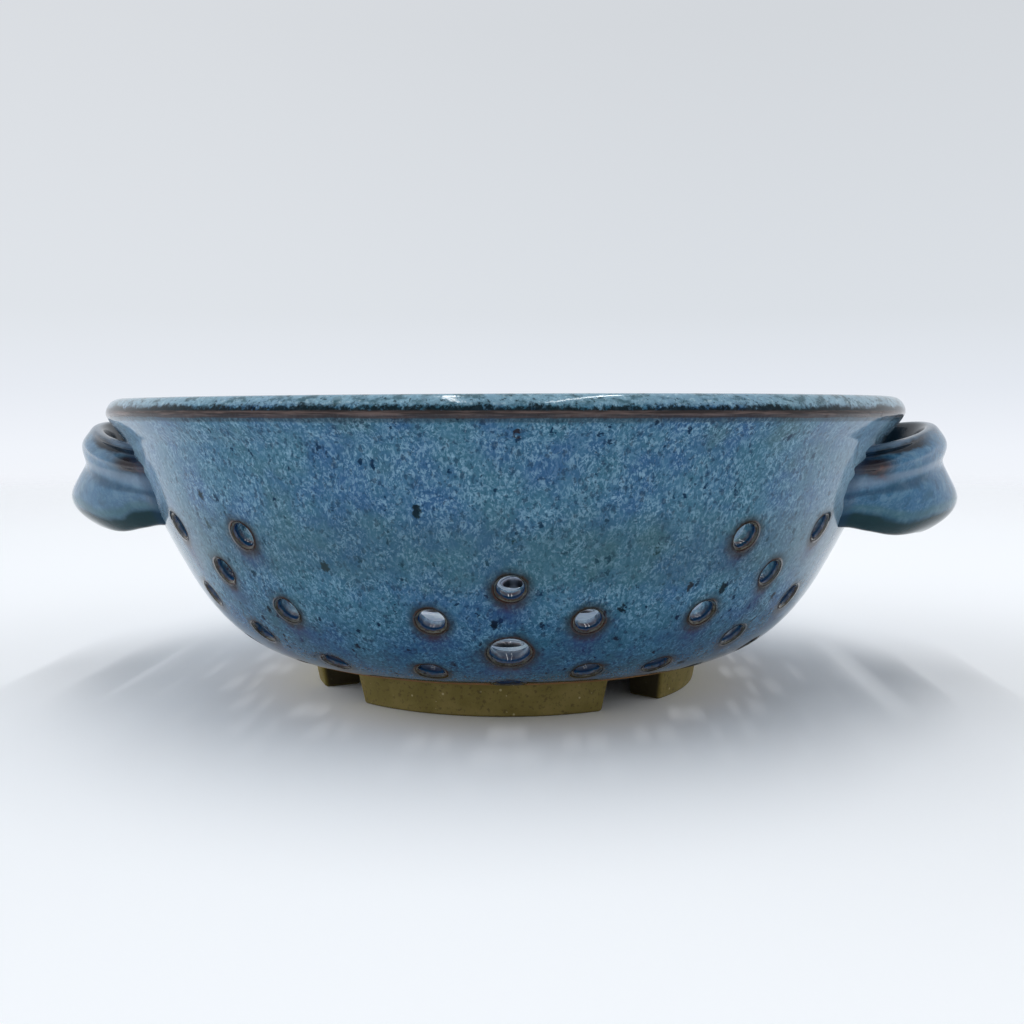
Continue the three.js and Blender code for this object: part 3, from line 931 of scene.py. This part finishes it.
def paint_holes(s, at, coat):
    edge, under, jitter = at.edge, at.under, at.jitter

    # runs under the holes
    run = s.math("POWER", s.mark("glaze_run"), 0.65)
    run = s.math("MULTIPLY", run, s.add(0.9, jitter, 2.0), clamp=True)
    coat.paint(s.pair(s.step(edge, 4.0, 1.6), *RUN), run, 0.95)

    # mouths of the holes: blue inside, grey on the turn, a broken brown ring round it
    ring_at = s.add(edge, jitter, 1.1)
    uneven = s.step(s.noise(at.mm, 3.2, 2), 0.36, 0.60)
    coat.paint(HALO, s.step(ring_at, 3.3, 0.85), s.add(0.52, uneven, 0.44), under)
    brown = s.pair(s.step(at.slow, -0.1, 0.15), *BROWN_RING)
    coat.paint(brown, s.zone(ring_at, 0.58, 0.80, 0.95, 1.45), s.add(0.45, uneven, 0.55), under)
    patchy = s.step(s.noise(s.moved(at.mm, (4, 8, 2)), 2.4, 2, 0.6), 0.40, 0.58)
    turn = s.times(s.step(ring_at, 0.82, 0.62), s.step(edge, 0.26, 0.36), s.add(0.42, patchy, 0.52))
    coat.paint(s.pair(s.step(jitter, -0.1, 0.15), *GREY_TURN), turn, under)
    bore = s.times(s.step(edge, 0.34, 0.24), under)
    coat.paint(s.pair(s.step(jitter, -0.1, 0.12), *BLUE_BORE), bore, 0.94)
    coat.paint(brown, s.zone(ring_at, 0.16, 0.26, 0.34, 0.44), under, 0.7)

    # painted shade in the drain holes of the floor, with a brown rim, and round the lowest holes of the wall
    # from inside
    drain_shade = s.times(s.step(at.radius, 60.5, 59), s.step(ring_at, 1.4, 0.5), s.add(0.25, at.lining, 0.70))
    coat.paint(s.pair(s.step(edge, 0.5, 0.9), *DRAIN_SHADE_AND_RIM), drain_shade)
    low_hole_shade = s.times(s.zone(at.radius, 59.5, 60.5, 66, 67.5), s.step(ring_at, 1.7, 0.7), at.lining)
    coat.paint(LOW_HOLE_SHADE, low_hole_shade, 0.85)
    return bore


def paint_lip(s, at, coat):
    """Teal on top, a dark speckled zone along the lower edge and a brown break under it."""
    outer = s.step(at.radius, 91.5, 93)
    streak = s.wobble(s.scaled(at.mm, (0.10, 0.10, 1.6)), 1.0, 3, 0.6)
    flecks = s.wobble(at.mm, 0.85, 3, 0.7)
    level = s.add(at.z, at.jitter, 0.9)
    top = s.times(s.step(level, 66.3, 67.3), s.step(at.radius, 85.5, 88))
    coat.paint(LIP_TOP, top, 0.55)
    cloudy = s.noise(s.scaled(at.mm, (0.7, 0.7, 1.5)), 2.4, 3, 0.6)
    coat.paint(LIP_CLOUD, s.step(cloudy, 0.54, 0.36), top, 0.78)
    coat.paint(LIP_GLINT, s.step(flecks, 0.06, 0.18), top, 0.5)

    tear = s.minus(3.4, s.times(s.step(s.size(at.x), 40, 78), 2.2))
    ragged = s.add(s.add(level, flecks, tear), at.slow, 2.4)
    dots = s.step(s.add(flecks, s.step(at.z, 66.0, 68.6), 0.06), -0.03, -0.12)
    dark = s.most(s.step(ragged, 67.1, 66.2), s.times(dots, 0.8))
    dark = s.times(dark, s.step(at.z, 64.9, 65.4), outer, 0.92)
    coat.paint(LIP_EDGE, dark)

    flat = s.add(s.add(at.z, streak, 0.5), at.jitter, 0.25)
    rust = Coat(s, s.pair(s.step(streak, -0.10, 0.16), *LIP_BREAK))
    rust.paint(LIP_SHADE, s.step(flat, 65.25, 64.75), 0.7)
    coat.paint(rust.color, s.zone(flat, 64.25, 64.6, 65.6, 65.95), outer, 0.94)
    coat.paint(LIP_SEAM, s.zone(flat, 63.4, 64.0, 64.3, 64.75), outer, 0.6)
    return dark


def paint_underside(s, at, coat):
    """Bare clay round the foot, with a dark edge to the glaze."""
    line = s.add(at.radius, s.wobble(at.mm, 14, 2), 2.0)
    line = s.add(line, s.step(at.edge, 1.5, 0.8), 9)
    coat.paint(GLAZE_EDGE, s.step(line, 60.6, 59.2), at.under, 0.85)
    clay, _ = bare_clay(s, at.mm)
    clay.paint(TOASTED, s.step(line, 53.5, 57.5), 0.8)
    # painted shade on the clay under the bowl, inside the foot ring
    clay.paint(CLAY_UNDER_BOWL_SHADE, s.step(at.radius, 49.5, 46))
    bare = s.times(s.step(line, 58.8, 58.3), at.under)
    coat.paint(clay.color, bare)
    return bare


def bowl_material():
    s = new_shader("blue_glaze_bowl")
    mm, coat, speck = mottled(s)
    x, y, z = s.split(mm)
    lining = s.mark("lining")
    at = SimpleNamespace(
        mm=mm, x=x, y=y, z=z, radius=s.from_axis(x, y),
        edge=s.mark("hole_edge"), lining=lining, under=s.minus(1, lining),
        jitter=s.wobble(mm, 1.6, 3, 0.65), slow=s.wobble(mm, 11, 3, 0.6),
    )
    painted_side_sheen, painted_shade_behind = paint_wall(s, at, coat, speck)
    paint_lining(s, at, coat)
    bore = paint_holes(s, at, coat)
    dark = paint_lip(s, at, coat)
    bare = paint_underside(s, at, coat)
    gloss = s.add(GLAZE_GLOSS, painted_side_sheen, 0.3)
    gloss = s.plus(gloss, s.times(bore, s.step(at.radius, 61, 63), 0.6))
    dull = s.most(s.times(speck, 0.75), s.times(dark, 0.7), s.times(painted_shade_behind, 0.75))
    gloss = s.times(gloss, s.minus(1, dull))
    roughness = s.blend(bare, GLAZE_ROUGHNESS, CLAY_ROUGHNESS)
    s.surface(coat.color, roughness, glaze_skin(s, mm, speck), gloss)
    return s.owner


def handle_material():
    s = new_shader("blue_glaze_handle")
    mm, coat, speck = mottled(s)
    rise, out = s.mark("strap_rise"), s.mark("strap_out")
    full, away = s.mark("strap_full"), s.mark("off_wall")
    jitter = s.wobble(mm, 5.5, 4, 0.55)
    face = s.step(out, -0.2, 0.2)
    ends = s.minus(1, full)

    # a plainer glaze than on the bowl, in soft blotches, and a painted light that makes the left handle paler
    pooled = s.noise(mm, 7, 3, 0.6)
    blotch = s.noise(s.moved(mm, (14, 2, 30)), 3.6, 3, 0.6)
    coat.paint(STRAP, 0.72)
    coat.paint(STRAP_POOL, s.step(pooled, 0.46, 0.66), 0.6)
    coat.paint(STRAP_LIGHT, s.step(blotch, 0.50, 0.68), 0.45)
    coat.paint(STRAP_DARK, s.step(blotch, 0.46, 0.32), 0.45)
    coat.paint(LEFT_STRAP_LIGHT, s.step(s.split(mm)[0], -50, -80), 0.2)

    # green and then painted shade towards the lower edge, a painted highlight in grey along the upper one
    band = s.add(rise, jitter, 0.22)
    band = s.add(band, s.step(ends, 0.15, 0.5), 0.18)
    band = s.add(band, s.zone(ends, 0.45, 0.68, 0.78, 0.88), 0.12)
    coat.paint(MOSS, s.zone(band, -0.40, -0.26, -0.22, -0.06), 0.5)
    lower_edge_shade = s.times(s.step(band, -0.26, -0.45), s.add(0.6, face, 0.36))
    coat.paint(LOWER_EDGE_SHADE, lower_edge_shade)
    level = s.add(rise, jitter, 0.30)
    coat.paint(CREST_HIGHLIGHT, s.step(level, 0.80, 0.97), 0.5)

    # painted shade in the hollow behind the strap, on its inner face, where the glaze also pools
    painted_hollow_shade = s.times(s.step(out, 0.0, -0.35), s.add(0.84, s.step(ends, 0.1, 0.5), 0.16))
    coat.paint(HOLLOW_SHADE, painted_hollow_shade)

    # the crease in painted shade, the crown as a painted highlight, and the line, which run out to the ends,
    # and the pinch at the wall
    fold = s.minus(level, s.math("MINIMUM", 0.9, s.add(0.66, full, 0.42)))
    crease = s.zone(fold, -0.18, -0.08, 0.06, 0.22)
    coat.paint(CREASE_SHADE, crease, s.step(ends, 0.28, 0.60), face, 0.95)
    from_line = s.minus(rise, s.add(-0.13, full, 0.40))
    painted_crown_highlight = s.step(s.size(s.minus(from_line, 0.14)), 0.12, 0.02)
    coat.paint(CROWN_HIGHLIGHT, painted_crown_highlight, s.step(ends, 0.10, 0.45), face, 0.42)
    line = s.step(s.size(from_line), 0.07, 0.01)
    coat.paint(DARK_LINE, line, s.step(ends, 0.35, 0.65), face, 0.5)
    pinch = s.times(s.zone(level, 0.02, 0.20, 0.50, 0.62), s.step(ends, 0.77, 0.88), face, 0.92)
    coat.paint(s.pair(s.step(jitter, 0, 0.15), *BROWN_PINCH), pinch)
    coat.paint(JOIN, s.step(away, 1.8, 0.2), 0.5)

    gloss = s.minus(0.22, s.times(lower_edge_shade, 0.12))
    gloss = s.minus(gloss, s.times(painted_hollow_shade, 0.19), clamp=True)
    s.surface(coat.color, GLAZE_ROUGHNESS, glaze_skin(s, mm, speck), gloss)
    return s.owner


def foot_material():
    s = new_shader("bare_clay")
    mm = s.scaled(s.place("Object"), (1000, 1000, 1000))
    coat, grog = bare_clay(s, mm)
    x, y, z = s.split(mm)
    coat.paint(WORN, s.step(z, 0.7, 0.1), 0.4)
    # painted shade on the inner faces of the feet, above the floor
    upright = s.add(s.from_axis(x, y), z, -FOOT_LEAN)
    coat.paint(FOOT_INNER_SHADE, s.step(upright, 46.5, 45.6), s.step(z, 0.05, 0.6), 0.85)
    s.surface(coat.color, FOOT_ROUGHNESS, clay_bump(s, mm, grog))
    return s.owner


def floor_material():
    """Matt, and clear far out, where the backdrop of the world takes over."""
    s = new_shader("studio_floor")
    here = s.place("Object")
    far = s.step(s.node("VectorMath", {0: here}, operation="LENGTH").outputs["Value"], 0.40, 1.1)
    matt = s.node("BsdfDiffuse", {"Color": s.pair(s.noise(here, 0.6, 2), *FLOOR_TONES)})
    clear = s.node("BsdfTransparent")
    both = s.node("MixShader", {0: far, 1: matt.outputs[0], 2: clear.outputs[0]})
    s.node("OutputMaterial", {"Surface": both.outputs[0]})
    return s.owner


# Pieces
GLAZE_BOWL, GLAZE_HANDLE, CLAY = bowl_material(), handle_material(), foot_material()


def new_object(name, data):
    made = bpy.data.objects.new(name, data)
    bpy.context.scene.collection.objects.link(made)
    return made


def piece(name, mesh, material, node):
    made = new_object(name, mesh)
    mesh.materials.append(material)
    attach(made, "root")
    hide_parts(node)


piece("glazed_bowl", bowl_mesh(), GLAZE_BOWL, "bowl_body")
for side, form in HANDLES.items():
    mesh = handle_mesh("strap_" + side, *form)
    piece("strap_handle_" + side, mesh, GLAZE_HANDLE, "handle_" + side)
for number, (side, cuts) in enumerate(FOOT_CUTS.items()):
    mesh = foot_mesh("clay_foot_" + side, NOTCH_TURN + 90 * number, *cuts)
    piece("clay_foot_" + side, mesh, CLAY, "foot_" + side)

# Floor, light and camera
bpy.ops.mesh.primitive_circle_add(vertices=128, radius=3, fill_type="TRIFAN")
floor = bpy.context.object
floor.name = "studio_floor"
floor.data.materials.append(floor_material())

SKY_START = 0.25  # below the horizon, where the ramp of the backdrop begins
DIM, ABOVE = 0.23, 0.05  # strengths of the fill light low down and overhead


def studio_world():
    """A light tent: bright at the sides, dim overhead and towards the front, over a pale backdrop."""
    world = bpy.data.worlds.new("studio")
    bpy.context.scene.world = world
    s = Shader(world)
    x, y, z = s.split(s.place("Generated"))
    ramp = s.node("ValToRGB", {0: s.plus(z, SKY_START)})
    elements = ramp.color_ramp.elements
    while len(elements) < len(SKY):
        elements.new(0.5)
    for element, (height, code) in zip(elements, SKY):
        element.position = height + SKY_START
        element.color = rgb(code)
    front = s.step(y, 0.1, -0.75)
    side = s.step(s.size(x), 0.45, 0.9)
    left = s.step(x, -0.2, -0.8)

    # what the camera and reflections see
    tilt = s.times(s.step(x, 0.2, -0.5), 0.18)
    tent = Coat(s, ramp.outputs[0])
    tent.paint(TENT_SIDE, s.most(side, tilt))
    tent.paint(TENT_FRONT, front)
    shown = s.node("Background", {"Color": tent.color, "Strength": 1.0})
    path = s.node("LightPath").outputs
    seen = s.most(path["Is Camera Ray"], path["Is Glossy Ray"], path["Is Transmission Ray"])

    # what lights the bowl
    rising = s.step(z, -0.05, 0.45)
    level = s.add(DIM, rising, s.add(0.78, side, 1.45))
    level = s.plus(level, s.times(left, rising, 1.15))
    flank = s.times(s.step(s.size(x), 0.3, 0.8), s.step(z, -0.05, 0.08), s.add(1.13, left, 0.87))
    level = s.most(level, s.plus(DIM, flank))
    level = s.times(level, s.minus(1, s.times(front, 0.4)))
    level = s.blend(s.step(z, 0.38, 0.92), level, ABOVE)
    fill = s.node("Background", {"Color": FILL_COLOR, "Strength": level})
    both = s.node("MixShader", {0: seen, 1: fill.outputs[0], 2: shown.outputs[0]})
    s.node("OutputWorld", {"Surface": both.outputs[0]})


STRIP_DEPTH, STRIP_HEIGHT = 0.009, 1.24  # place of the lamps, in metres


def strip_lamp(name, x, length, width, watts):
    lamp = bpy.data.lights.new(name, "AREA")
    lamp.shape = "RECTANGLE"
    lamp.size, lamp.size_y = width, length
    lamp.energy = watts
    new_object(name, lamp).location = (x, STRIP_DEPTH, STRIP_HEIGHT)


studio_world()
strip_lamp("strip_left", x=-0.184, length=1.41, width=0.027, watts=3.5)
strip_lamp("strip_right", x=0.240, length=1.44, width=0.035, watts=4.3)

CAMERA_TURN = 3.0  # of the camera round the bowl, towards +X
CAMERA_AWAY = 295.0
CAMERA_HEIGHT = 65.8
CAMERA_PITCH = 4.934
CAMERA_YAW = 0.299
SENSOR = 36
FOCAL_PIXELS, IMAGE_PIXELS = 1176.6, 1024

lens = bpy.data.cameras.new("photo_camera")
lens.sensor_width = SENSOR
lens.lens = FOCAL_PIXELS / IMAGE_PIXELS * SENSOR
lens.clip_start = 0.01
camera = new_object("photo_camera", lens)
turn = math.radians(CAMERA_TURN)
heading = math.radians(CAMERA_TURN - CAMERA_YAW)
place = Vector((CAMERA_AWAY * math.sin(turn), -CAMERA_AWAY * math.cos(turn), CAMERA_HEIGHT)) * MM
camera.matrix_world = (
    Matrix.Translation(place)
    @ Matrix.Rotation(heading, 4, "Z")
    @ Matrix.Rotation(math.radians(90 - CAMERA_PITCH), 4, "X")
)
bpy.context.scene.camera = camera
bpy.context.scene.view_settings.view_transform = "Standard"
